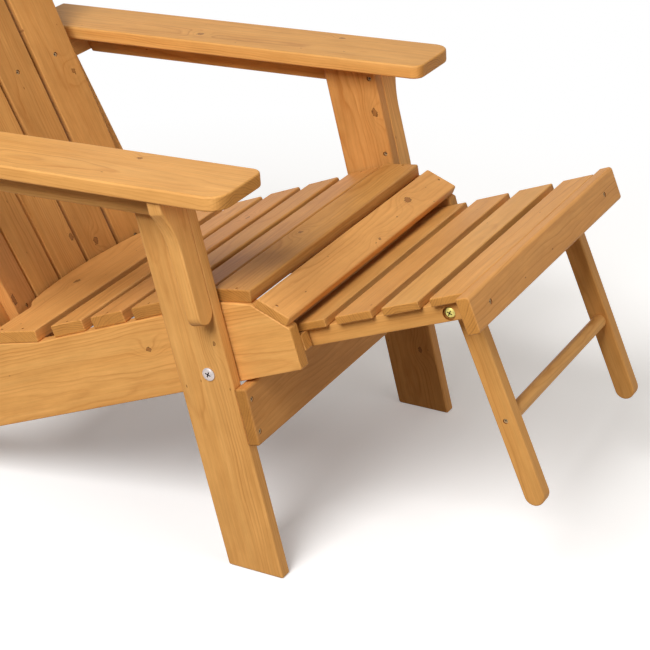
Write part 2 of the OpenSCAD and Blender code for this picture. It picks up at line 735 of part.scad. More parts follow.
placed() stringer(1);  // stringer_left
placed() stringer(-1);  // stringer_right
placed() seat_slat(1);  // seat_slat_1
placed() seat_slat(2);  // seat_slat_2
placed() seat_slat(3);  // seat_slat_3
placed() seat_slat(4);  // seat_slat_4
placed() seat_slat(5);  // seat_slat_5
placed() seat_slat(6);  // seat_slat_6
placed() seat_slat(7);  // seat_slat_7
placed() front_leg(1);  // front_leg_left
placed() front_leg(-1);  // front_leg_right
placed() apron();
placed() arm(1);  // arm_left
placed() arm(-1);  // arm_right
placed() arm_bracket(1);  // arm_bracket_left
placed() arm_bracket(-1);  // arm_bracket_right
placed() arm_rail(1);  // arm_rail_left
placed() arm_rail(-1);  // arm_rail_right
placed() back_slat(1);  // back_slat_1
placed() back_slat(2);  // back_slat_2
placed() back_slat(3);  // back_slat_3
placed() back_slat(4);  // back_slat_4
placed() back_slat(5);  // back_slat_5
placed() back_stile(1);  // back_stile_left
placed() back_stile(-1);  // back_stile_right
placed() back_lower_bar();
placed() arm_bar();
placed() back_upper_batten();
placed() guide_cleat(1);  // guide_cleat_left
placed() guide_cleat(-1);  // guide_cleat_right
placed() leg_bolts();
placed() leg_washers();
placed() tee_nuts();
placed() seat_nails();
placed() apron_screws();
placed() bracket_screws();
placed() back_screws();
placed() ottoman_rail(1);  // ottoman_rail_left
placed() ottoman_rail(-1);  // ottoman_rail_right
placed() ottoman_slat(1);  // ottoman_slat_1
placed() ottoman_slat(2);  // ottoman_slat_2
placed() ottoman_slat(3);  // ottoman_slat_3
placed() ottoman_slat(4);  // ottoman_slat_4
placed() ottoman_slat(5);  // ottoman_slat_5
placed() ottoman_rear_bar();
placed() end_board();
placed() end_board_screws();
placed() pivot_bolts();
placed() pivot_spacers();
placed() pivot_nuts();
placed() ottoman_leg(1);  // ottoman_leg_left
placed() ottoman_leg(-1);  // ottoman_leg_right
placed() leg_dowel();
placed() dowel_screws();
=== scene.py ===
# The looks of a wooden garden chair with a pull-out ottoman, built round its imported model.
# Everything is in metres, in the model's own frame: +X to the sitter's left, -Y to the front, +Z up.
import math
import random

import bmesh
import bpy
from mathutils import Matrix, Vector


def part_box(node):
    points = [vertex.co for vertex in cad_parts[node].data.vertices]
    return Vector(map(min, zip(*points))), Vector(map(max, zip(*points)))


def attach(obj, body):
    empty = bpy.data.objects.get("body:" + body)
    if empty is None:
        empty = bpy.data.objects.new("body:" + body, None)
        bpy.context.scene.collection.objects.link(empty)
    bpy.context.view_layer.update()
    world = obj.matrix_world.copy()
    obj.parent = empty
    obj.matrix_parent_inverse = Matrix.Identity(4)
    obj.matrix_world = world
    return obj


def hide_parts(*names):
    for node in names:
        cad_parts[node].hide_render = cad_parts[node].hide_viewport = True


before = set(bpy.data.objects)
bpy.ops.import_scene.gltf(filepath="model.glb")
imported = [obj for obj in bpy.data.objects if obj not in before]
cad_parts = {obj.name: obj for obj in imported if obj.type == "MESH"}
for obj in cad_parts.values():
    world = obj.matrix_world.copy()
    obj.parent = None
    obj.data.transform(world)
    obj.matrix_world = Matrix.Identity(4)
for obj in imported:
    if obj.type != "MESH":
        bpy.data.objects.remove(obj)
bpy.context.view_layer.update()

# ---- Stringers ----
# The two sloping side boards that carry the seat. They are knotty softwood, planed all round,
# brushed with a honey-coloured oil stain, and sawn to shape before their edges were sanded soft.
MM = 0.001


def linear(hex_colour):
    """A colour written in sRGB hex, as linear red, green, blue and alpha."""
    parts = [int(hex_colour[i : i + 2], 16) / 255 for i in (1, 3, 5)]
    parts = [c / 12.92 if c <= 0.04045 else ((c + 0.055) / 1.055) ** 2.4 for c in parts]
    return (*parts, 1.0)


def add(tree, kind, inputs=(), **settings):
    """Adds a node of that kind with its settings and links, and gives its outputs. The inputs
    are a list in the sockets' order, or a dict by their names or places. Each is a value,
    another node's output, or a list of outputs where a socket takes several."""
    node = tree.nodes.new(kind)
    for name, value in settings.items():
        setattr(node, name, value)
    for key, value in inputs.items() if isinstance(inputs, dict) else enumerate(inputs):
        if isinstance(value, bpy.types.NodeSocket):
            tree.links.new(value, node.inputs[key])
        elif isinstance(value, list):
            for output in value:
                tree.links.new(output, node.inputs[key])
        else:
            node.inputs[key].default_value = value
    return node.outputs


# The sockets of a Mix node that mixes two colours: its share of the upper one, and its result
SHARE, UNDER, OVER = 0, 6, 7
MIXED = 2


def stained_pine():
    """Softwood under a honey oil stain, sanded but not varnished. The eye sees growth rings cut
    lengthwise as soft pale and dark bands, fine fibre, a cloudy stain and a low sheen."""
    material = bpy.data.materials.new("stained_pine")
    material.use_nodes = True
    tree = material.node_tree
    tree.nodes.clear()

    grain = add(tree, "ShaderNodeAttribute", attribute_name="grain")["Vector"]
    along, across, below = add(tree, "ShaderNodeSeparateXYZ", [grain])
    board = add(tree, "ShaderNodeAttribute", attribute_name="board")["Vector"]
    tone, warmth, cut = add(tree, "ShaderNodeSeparateXYZ", [board])

    # Each pattern's waves in a metre along and across the grain, its detail and its roughness
    patterns = {
        "wander": (2.6, 13.0, 2.0, 0.5),  # the trunk's slow bends, about 380 mm by 77 mm
        "wiggle": (20.0, 42.0, 2.0, 0.5),  # small bends of the rings, 50 mm by 24 mm
        "season": (6.0, 40.0, 1.0, 0.5),  # stronger and weaker late wood, 170 mm by 25 mm
        "streak": (3.0, 85.0, 2.0, 0.5),  # long streaks of stain, 12 mm wide
        "patch": (3.5, 7.0, 1.0, 0.5),  # broad patches, 290 mm by 140 mm
        "cloud": (11.0, 30.0, 4.0, 0.68),  # blotches of stain, 90 mm by 33 mm and finer
        "fibre": (16.0, 520.0, 3.0, 0.5),  # 2 mm wide, coarser than real fibre, so that it shows
        "rim": (260.0, 320.0, 2.0, 0.5),  # the ragged edges of knots, 3 to 4 mm
    }
    noise = {}
    for name, (lengthwise, crosswise, detail, roughness) in patterns.items():
        waves = (lengthwise, crosswise, crosswise)
        spread = add(tree, "ShaderNodeVectorMath", [grain, waves], operation="MULTIPLY")[0]
        sizes = {"Vector": spread, "Scale": 1.0, "Detail": detail, "Roughness": roughness}
        noise[name] = add(tree, "ShaderNodeTexNoise", sizes)["Fac"]

    # Up to two branches in a board, each a knot through it, longer than wide on the face
    squeeze = (0.7, 1.0, 0.0)  # along, across and through the board
    swell_reach = 15 * MM  # how far a knot bends the rings round it
    smallest = 0.1 * MM  # a knot with a smaller radius than this isn't there
    core_sharpness = 3.0
    rim_middle, rim_half_width = 0.1, 0.13  # as shares of the way in from the knot's edge
    most_ragged, least_ragged = 1.6, 0.2
    ragged = add(
        tree, "ShaderNodeMath", [noise["rim"], most_ragged, least_ragged], operation="MULTIPLY_ADD"
    )[0]
    swirl, knot, knot_edge = 0.0, 0.0, 0.0
    for name in ("knot_a", "knot_b"):
        spot = add(tree, "ShaderNodeAttribute", attribute_name=name)["Vector"]
        size = add(tree, "ShaderNodeSeparateXYZ", [spot])[2]
        present = add(tree, "ShaderNodeMath", [size, smallest], operation="GREATER_THAN")[0]
        apart = add(tree, "ShaderNodeVectorMath", [grain, spot], operation="SUBTRACT")[0]
        apart = add(tree, "ShaderNodeVectorMath", [apart, squeeze], operation="MULTIPLY")[0]
        gap = add(tree, "ShaderNodeVectorMath", [apart], operation="LENGTH")["Value"]

        fade = add(tree, "ShaderNodeMath", [gap, swell_reach], operation="DIVIDE")[0]
        fade = add(tree, "ShaderNodeMath", [fade, 2.0], operation="POWER")[0]
        fade = add(tree, "ShaderNodeMath", [fade, -1.0], operation="MULTIPLY")[0]
        bulge = add(tree, "ShaderNodeMath", [fade], operation="EXPONENT")[0]
        swirl = add(tree, "ShaderNodeMath", [bulge, present, swirl], operation="MULTIPLY_ADD")[0]

        size = add(tree, "ShaderNodeMath", [size, smallest], operation="MAXIMUM")[0]
        gap = add(tree, "ShaderNodeMath", [gap, ragged], operation="MULTIPLY")[0]
        depth = add(tree, "ShaderNodeMath", [gap, size], operation="DIVIDE")[0]
        depth = add(tree, "ShaderNodeMath", [1.0, depth], operation="SUBTRACT")[0]
        core = add(
            tree, "ShaderNodeMath", [depth, core_sharpness], operation="MULTIPLY", use_clamp=True
        )[0]
        core = add(tree, "ShaderNodeMath", [core, present], operation="MULTIPLY")[0]
        knot = add(tree, "ShaderNodeMath", [knot, core], operation="MAXIMUM")[0]
        rim = add(
            tree, "ShaderNodeMath", [depth, rim_middle, rim_half_width], operation="COMPARE"
        )[0]
        rim = add(tree, "ShaderNodeMath", [rim, present], operation="MULTIPLY")[0]
        knot_edge = add(tree, "ShaderNodeMath", [knot_edge, rim], operation="MAXIMUM")[0]

    # Growth rings: the distance from the tree's heart, bent by the tree's growth and by knots
    ring_width = 3.4 * MM
    trunk_taper = 0.011  # how much further out a ring lies for each metre along the board
    bends = (
        (noise["wander"], 26 * MM),
        (noise["wiggle"], 3.2 * MM),
        (along, trunk_taper),
        (swirl, 10 * MM),
    )
    from_heart = add(tree, "ShaderNodeCombineXYZ", {1: across, 2: below})[0]
    radius = add(tree, "ShaderNodeVectorMath", [from_heart], operation="LENGTH")["Value"]
    for cause, push in bends:
        radius = add(tree, "ShaderNodeMath", [cause, push, radius], operation="MULTIPLY_ADD")[0]
    rings = add(tree, "ShaderNodeMath", [radius, ring_width], operation="DIVIDE")[0]

    # From one year to the next: pale wood of spring, then a slow rise to a dark summer line
    year_shape = ((0.0, 0.3), (0.12, 0.0), (0.6, 0.2), (0.88, 1.0), (1.0, 0.3))
    growth = add(tree, "ShaderNodeMath", [rings], operation="FRACT")[0]
    band = add(tree, "ShaderNodeValToRGB", [growth])[0]
    stops = band.node.color_ramp.elements
    for place, level in year_shape[1:-1]:
        stops.new(place)
    for stop, (place, level) in zip(stops, year_shape):
        stop.color = (level, level, level, 1)
    year = add(tree, "ShaderNodeMath", [rings], operation="FLOOR")[0]
    luck = add(tree, "ShaderNodeTexWhiteNoise", {"W": year}, noise_dimensions="1D")["Value"]
    poorest = 0.1
    latewood = band
    for cause, gain in ((luck, 0.85), (noise["season"], 1.6)):
        level = add(tree, "ShaderNodeMath", [cause, gain, poorest], operation="MULTIPLY_ADD")[0]
        latewood = add(tree, "ShaderNodeMath", [latewood, level], operation="MULTIPLY")[0]

    # The colours of the planed faces, each laid over the last by a gain and a lift of its cause
    honey, amber, summer_line = "#E0A962", "#C4833A", "#A86324"
    pinkish, straw = "#CB8B50", "#E0B678"
    wood = linear(honey)
    for cause, gain, lift, colour in (
        (noise["streak"], 0.9, -0.25, amber),
        (noise["patch"], 0.3, 0.0, amber),
        (warmth, 0.8, 0.0, pinkish),
        (warmth, -0.8, 0.0, straw),
        (latewood, 0.5, 0.0, summer_line),
    ):
        amount = [cause, gain, lift]
        share = add(tree, "ShaderNodeMath", amount, operation="MULTIPLY_ADD", use_clamp=True)[0]
        layers = {SHARE: share, UNDER: wood, OVER: linear(colour)}
        wood = add(tree, "ShaderNodeMix", layers, data_type="RGBA")[MIXED]

    # Sawn ends drink more stain and show the rings as short arcs
    sawn_wood, sawn_line = "#BE8540", "#8A5826"
    soaked = 0.85
    layers = {SHARE: latewood, UNDER: linear(sawn_wood), OVER: linear(sawn_line)}
    sawn = add(tree, "ShaderNodeMix", layers, data_type="RGBA")[MIXED]
    share = add(tree, "ShaderNodeMath", [cut, soaked], operation="MULTIPLY", use_clamp=True)[0]
    layers = {SHARE: share, UNDER: wood, OVER: sawn}
    wood = add(tree, "ShaderNodeMix", layers, data_type="RGBA")[MIXED]

    # Where the stain lies thicker it takes more of the green, and most of the blue
    in_green, in_blue = 1.15, 1.45
    shade = 0.66  # the deepest stain, which each cause makes lighter
    for cause, gain in ((tone, 0.14), (noise["fibre"], 0.3), (noise["cloud"], 0.42)):
        shade = add(tree, "ShaderNodeMath", [cause, gain, shade], operation="MULTIPLY_ADD")[0]
    green = add(tree, "ShaderNodeMath", [shade, in_green], operation="POWER")[0]
    blue = add(tree, "ShaderNodeMath", [shade, in_blue], operation="POWER")[0]
    stain = add(tree, "ShaderNodeCombineColor", [shade, green, blue])[0]
    layers = {SHARE: 1.0, UNDER: wood, OVER: stain}
    wood = add(tree, "ShaderNodeMix", layers, data_type="RGBA", blend_type="MULTIPLY")[MIXED]

    # Flecks: pin knots, resin pockets and small torn places, scattered over the face
    fleck_cell = 38 * MM
    flecked_cells = 0.3
    least_reach, more_reach = 0.016, 0.018  # as shares of a cell
    stretch = 0.4
    stretched = add(tree, "ShaderNodeMath", [along, stretch], operation="MULTIPLY")[0]
    spread = add(tree, "ShaderNodeCombineXYZ", {0: stretched, 1: across})[0]
    sizes = {"Vector": spread, "Scale": 1 / fleck_cell, "Randomness": 1.0}
    cells = add(tree, "ShaderNodeTexVoronoi", sizes, voronoi_dimensions="2D")
    lot = add(tree, "ShaderNodeSeparateColor", [cells["Color"]])
    reach = add(
        tree, "ShaderNodeMath", [lot[1], more_reach, least_reach], operation="MULTIPLY_ADD"
    )[0]
    fleck = add(tree, "ShaderNodeMath", [cells["Distance"], reach], operation="DIVIDE")[0]
    fleck = add(tree, "ShaderNodeMath", [1.0, fleck], operation="SUBTRACT", use_clamp=True)[0]
    chosen = add(tree, "ShaderNodeMath", [lot[0], flecked_cells], operation="LESS_THAN")[0]
    fleck = add(tree, "ShaderNodeMath", [fleck, chosen], operation="MULTIPLY")[0]

    # Knots and flecks, and in the drilled holes painted shade together with the stain that gathers
    # there
    knot_wood, knot_rim, hole_stain_and_shade = "#6E3813", "#431D06", "#875224"
    for cause, gain, colour in (
        (knot, 0.6, knot_wood),
        (knot_edge, 0.7, knot_rim),
        (fleck, 1.1, knot_wood),
        (cut, -1.0, hole_stain_and_shade),
    ):
        share = add(tree, "ShaderNodeMath", [cause, gain], operation="MULTIPLY", use_clamp=True)[0]
        layers = {SHARE: share, UNDER: wood, OVER: linear(colour)}
        wood = add(tree, "ShaderNodeMix", layers, data_type="RGBA")[MIXED]

    # The fibre and the hard late wood stand up, and a knot's rim has shrunk away
    smoothest, rougher_fibre = 0.42, 0.2
    relief = 0.0
    for cause, rise in ((latewood, 0.2), (noise["fibre"], 0.6), (knot_edge, -0.8)):
        relief = add(tree, "ShaderNodeMath", [cause, rise, relief], operation="MULTIPLY_ADD")[0]
    surface = {"Height": relief, "Strength": 0.4, "Distance": 0.3 * MM}
    bump = add(tree, "ShaderNodeBump", surface)[0]
    rough = add(
        tree, "ShaderNodeMath", [noise["fibre"], rougher_fibre, smoothest], operation="MULTIPLY_ADD"
    )[0]
    finish = {"Base Color": wood, "Roughness": rough, "Specular IOR Level": 0.2, "Normal": bump}
    shader = add(tree, "ShaderNodeBsdfPrincipled", finish)[0]
    add(tree, "ShaderNodeOutputMaterial", [shader])
    return material


PINE = stained_pine()
WELD = 0.002 * MM  # points closer than this are one


def merged(node):
    """A CAD node's mesh with its loose triangles joined and its flat faces made whole."""
    mesh = bmesh.new()
    mesh.from_mesh(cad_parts[node].data)
    bmesh.ops.remove_doubles(mesh, verts=mesh.verts, dist=WELD)
    nearly_flat = math.radians(0.4)
    bmesh.ops.dissolve_limit(mesh, angle_limit=nearly_flat, verts=mesh.verts, edges=mesh.edges)
    mesh.normal_update()
    return mesh


def drilled_walls(mesh):
    """The faces in the walls of drilled holes: narrow strips that curve inwards tightly."""
    widest_radius = 11 * MM
    gentlest, sharpest = 0.02, 0.7  # how far one strip turns from the next, in radians
    walls = set()
    for edge in mesh.edges:
        if len(edge.link_faces) != 2:
            continue
        turn = -edge.calc_face_angle_signed(0.0)
        strip = min(face.calc_area() for face in edge.link_faces) / max(edge.calc_length(), WELD)
        if gentlest < turn < sharpest and strip / turn < widest_radius:
            walls.update(edge.link_faces)
    return walls


def board_axes(mesh):
    """The directions along a board, across it and out of its wide face."""
    downwards, upwards = Vector((1, -2, -3)), Vector((-3, -1, 2))  # to settle which way they run
    sideways = 0.2
    longest = max(mesh.edges, key=lambda edge: edge.calc_length())
    length_axis = (longest.verts[1].co - longest.verts[0].co).normalized()
    if length_axis.dot(downwards) < 0:
        length_axis.negate()
    facing = {}
    for face in mesh.faces:
        if abs(face.normal.dot(length_axis)) < sideways:
            key = tuple(round(abs(c), 1) for c in face.normal)
            facing.setdefault(key, [0.0, face.normal.copy()])[0] += face.calc_area()
    wide_normal = max(facing.values(), key=lambda found: found[0])[1]
    if wide_normal.dot(upwards) < 0:
        wide_normal.negate()
    width_axis = wide_normal.cross(length_axis).normalized()
    return length_axis, width_axis, length_axis.cross(width_axis)


def ease_edges(mesh, walls, soften):
    """Rounds a board's crisp edges by that many mm, apart from the rims of its drilled holes."""
    least_turn = math.radians(32)
    crisp = [
        edge
        for edge in mesh.edges
        if len(edge.link_faces) == 2
        and edge.calc_face_angle_signed(0.0) > least_turn
        and not any(face in walls for face in edge.link_faces)
    ]
    bmesh.ops.bevel(
        mesh,
        geom=crisp,
        offset=soften * MM,
        offset_type="OFFSET",
        segments=3,
        profile=0.5,
        affect="EDGES",
        clamp_overlap=True,
    )
    bmesh.ops.remove_doubles(mesh, verts=mesh.verts, dist=WELD)
    mesh.normal_update()


def corner_normals(mesh):
    """A shading normal for each corner of each face. Those of the wide faces keep their own
    direction right up to the eased edges, as the faces round a corner count by their areas."""
    alike = 0.8
    areas = {face: face.calc_area() for face in mesh.faces}
    normals = []
    for face in mesh.faces:
        for corner in face.loops:
            near = [f for f in corner.vert.link_faces if f.normal.dot(face.normal) > alike]
            normals.append(sum((f.normal * areas[f] for f in near), Vector()).normalized())
    return normals


NO_KNOT = (0, 0, 0)


def timber(name, node, body, soften=2.0, tone=0.0, warmth=0.0, heart=None, knots=()):
    """A board made from its CAD node, with eased edges and the grain along its length.
    heart is the tree's heart seen from the board's middle, across and below, and each of the
    knots is its place along and across from the board's middle and its radius, all in mm."""
    mesh = merged(node)
    bore = mesh.faces.layers.int.new("bore")
    walls = drilled_walls(mesh)
    for face in walls:
        face[bore] = 1
    axes = board_axes(mesh)
    ease_edges(mesh, walls, soften)
    for face in mesh.faces:
        face.smooth = True
    drilled = [face[bore] for face in mesh.faces]
    normals = corner_normals(mesh)
    data = bpy.data.meshes.new(name)
    mesh.to_mesh(data)
    mesh.free()
    data.normals_split_custom_set(normals)
    data.attributes.remove(data.attributes["bore"])

    # Each board was cut from its own place in a tree, and took the stain in its own way
    tone_spread, warmth_spread = 0.35, 0.4
    draw = random.Random(node)
    low = Vector([min(v.co[i] for v in data.vertices) for i in range(3)])
    high = Vector([max(v.co[i] for v in data.vertices) for i in range(3)])
    middle = (low + high) / 2
    across, below = heart or (draw.uniform(-45, 45), draw.uniform(25, 95))
    offset = Vector((draw.uniform(5, 45), across * MM, below * MM))
    tone += draw.uniform(-tone_spread, tone_spread)
    warmth += draw.uniform(-warmth_spread, warmth_spread)

    turned = Matrix(axes)
    grain = data.attributes.new("grain", "FLOAT_VECTOR", "POINT")
    for vert in data.vertices:
        grain.data[vert.index].vector = turned @ (vert.co - middle) + offset
    # A face counts as sawn more and more as it turns to the end of the board
    planed_up_to, sawn_from = 0.55, 0.85
    facts = data.attributes.new("board", "FLOAT_VECTOR", "FACE")
    for face in data.polygons:
        endways = abs(face.normal.dot(axes[0]))
        sawn = min(max((endways - planed_up_to) / (sawn_from - planed_up_to), 0.0), 1.0)
        # The walls of drilled holes are marked -1 instead, which gives them painted shade along with
        # their stain
        facts.data[face.index].vector = (tone, warmth, -1.0 if drilled[face.index] else sawn)
    for label, (along, aside, radius) in zip(("knot_a", "knot_b"), (*knots, NO_KNOT, NO_KNOT)):
        place = data.attributes.new(label, "FLOAT_VECTOR", "FACE")
        spot = (offset.x + along * MM, offset.y + aside * MM, radius * MM)
        place.data.foreach_set("vector", spot * len(data.polygons))

    data.materials.append(PINE)
    piece = bpy.data.objects.new(name, data)
    bpy.context.scene.collection.objects.link(piece)
    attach(piece, body)
    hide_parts(node)


timber("wood_stringer_left", "stringer_left", "chair_frame", tone=0.3, heart=(60, 34))
timber(
    "wood_stringer_right", "stringer_right", "chair_frame", tone=0.4,
    heart=(40, 62), knots=[(231, 12, 3)],
)

# ---- Guide cleats ----
# Square softwood strips glued along the insides of the stringers. The ottoman's rails slide on
# them, so their edges are only lightly eased.
for hand in ("left", "right"):
    timber(f"wood_guide_cleat_{hand}", f"guide_cleat_{hand}", "chair_frame", soften=1.5, tone=-0.5)

# ---- Front legs and apron ----
# Two raked legs and the board between them, of the same softwood, bolted and screwed. Their
# corners are rounded further than the seat's, as feet and shins meet them.
timber(
    "wood_front_leg_left", "front_leg_left", "chair_frame", soften=3.0, tone=-0.8, warmth=0.2,
    heart=(20, 60), knots=[(-204, 29, 4), (182, 17, 3)],
)
timber(
    "wood_front_leg_right", "front_leg_right", "chair_frame", soften=3.0, tone=0.1,
    heart=(30, 60), knots=[(-60, 30, 2)],
)
timber("wood_apron", "apron", "chair_frame", soften=3.5, tone=-1.2, warmth=0.6)

# ---- Seat slats ----
# Seven softwood slats nailed across the stringers. The rear one is wide and shaped to the back,
# the one on the nose is thinner, and their edges were rounded by a moulder.
# Each slat's tone and its knots, from the rear one to the nose. The darker tones towards the sixth
# slat are partly painted shade: the near arm's soft shadow on the seat.
SEAT_SLATS = (
    (0.6, [(-60, 10, 4)]),
    (0.1, []),
    (-0.3, [(120, -8, 3)]),
    (-0.6, []),
    (-0.8, []),
    (-1.4, [(-40, 12, 3)]),
    (0.9, [(147, 5, 5), (20, -16, 2)]),
)
for number, (tone, knots) in enumerate(SEAT_SLATS, start=1):
    timber(
        f"wood_seat_slat_{number}", f"seat_slat_{number}", "chair_frame",
        tone=tone, warmth=0.4, knots=knots,
    )

# ---- Arms ----
# Flat boards with rounded front corners, on a coved bracket at each leg and a rail along the
# outside. They are of paler wood, and worn smooth by hands.
for hand in ("left", "right"):
    timber(
        f"wood_arm_{hand}", f"arm_{hand}", "chair_frame", soften=3.0, tone=0.6, warmth=-0.3,
        heart=(18, 52), knots=[(178, 33, 3), (-40, -20, 4)],
    )
    timber(f"wood_arm_bracket_{hand}", f"arm_bracket_{hand}", "chair_frame", soften=3.0, tone=0.6)
    timber(f"wood_arm_rail_{hand}", f"arm_rail_{hand}", "chair_frame", tone=-0.4)

# ---- Back ----
# Five fanned softwood slats screwed to three shaped cross bars, with a stile up each side behind
# them. The slats' tops were sawn to one curve, and their edges eased. The bars stay crisper.
# Each slat's tone and its knot
BACK_SLATS = (
    (-0.3, (311, -18, 5)),
    (-0.2, (120, 10, 4)),
    (-0.3, (291, 30, 4)),
    (-1.3, (315, -12, 4)),
    (-1.6, (60, 15, 3)),
)
for number, (tone, knot) in enumerate(BACK_SLATS, start=1):
    timber(
        f"wood_back_slat_{number}", f"back_slat_{number}", "chair_frame",
        tone=tone, warmth=0.3, knots=[knot],
    )
for hand in ("left", "right"):
    timber(f"wood_back_stile_{hand}", f"back_stile_{hand}", "chair_frame")
for bar in ("back_lower_bar", "arm_bar", "back_upper_batten"):
    timber(f"wood_{bar}", bar, "chair_frame", soften=1.0)

# ---- Ottoman ----
# Five thin softwood slats and a rear bar fixed across two rails, closed by a deeper board screwed
# on at the front. The slat and the bar furthest back are hidden under the seat's nose.
for hand in ("left", "right"):
    timber(f"wood_ottoman_rail_{hand}", f"ottoman_rail_{hand}", "ottoman", soften=1.5, tone=-0.4)
for number, tone in enumerate((0.0, -0.8, 0.2, 0.0, 0.2), start=1):
    timber(
        f"wood_ottoman_slat_{number}", f"ottoman_slat_{number}", "ottoman",
        soften=1.8, tone=tone, warmth=0.3,
    )
timber("wood_ottoman_rear_bar", "ottoman_rear_bar", "ottoman", soften=1.5)
timber("wood_end_board", "end_board", "ottoman", soften=2.0, tone=0.4, warmth=0.2)

# ---- Ottoman legs ----
# Two slim softwood legs with round feet, and a turned dowel screwed between them, which fold as
# one. Their edges are well rounded, as feet meet them.
for hand in ("left", "right"):
    timber(
        f"wood_ottoman_leg_{hand}", f"ottoman_leg_{hand}", "ottoman_legs",
        soften=2.5, tone=-1.0, warmth=0.4,
    )
timber("wood_leg_dowel", "leg_dowel", "ottoman_legs", soften=0.8, tone=-0.3)


# ---- Leg bolts ----
# One bolt through each front leg and stringer, with a large washer between the boards and a tee
# nut behind. They are steel, zinc plated and passivated clear, and the heads have cross recesses.
def plated_steel(name, colour, cloud, rough, metallic=1.0):
    """Zinc plate on steel. The eye sees a soft metal shine that is a little cloudy, not chrome, and
    painted shade down in the driver's recess."""
    clouds_in_a_metre = 420.0  # each a little over 2 mm across
    rougher_clouds = 0.2
    # The colour of the painted shade down in the recess
    painted_recess_shade = "#1B1512"
    material = bpy.data.materials.new(name)
    material.use_nodes = True
    tree = material.node_tree
    tree.nodes.clear()
    place = add(tree, "ShaderNodeTexCoord")["Object"]
    sizes = {"Vector": place, "Scale": clouds_in_a_metre, "Detail": 3.0}
    clouds = add(tree, "ShaderNodeTexNoise", sizes)["Fac"]
    recess = add(tree, "ShaderNodeAttribute", attribute_name="recess")["Fac"]
    tint = linear(colour)
    for share, over in ((clouds, cloud), (recess, painted_recess_shade)):
        layers = {SHARE: share, UNDER: tint, OVER: linear(over)}
        tint = add(tree, "ShaderNodeMix", layers, data_type="RGBA")[MIXED]
    roughness = add(
        tree, "ShaderNodeMath", [clouds, rougher_clouds, rough], operation="MULTIPLY_ADD"
    )[0]
    surface = {"Height": clouds, "Strength": 0.15, "Distance": 0.05 * MM}
    bump = add(tree, "ShaderNodeBump", surface)[0]
    finish = {"Base Color": tint, "Metallic": metallic, "Roughness": roughness, "Normal": bump}
    shader = add(tree, "ShaderNodeBsdfPrincipled", finish)[0]
    add(tree, "ShaderNodeOutputMaterial", [shader])
    return material


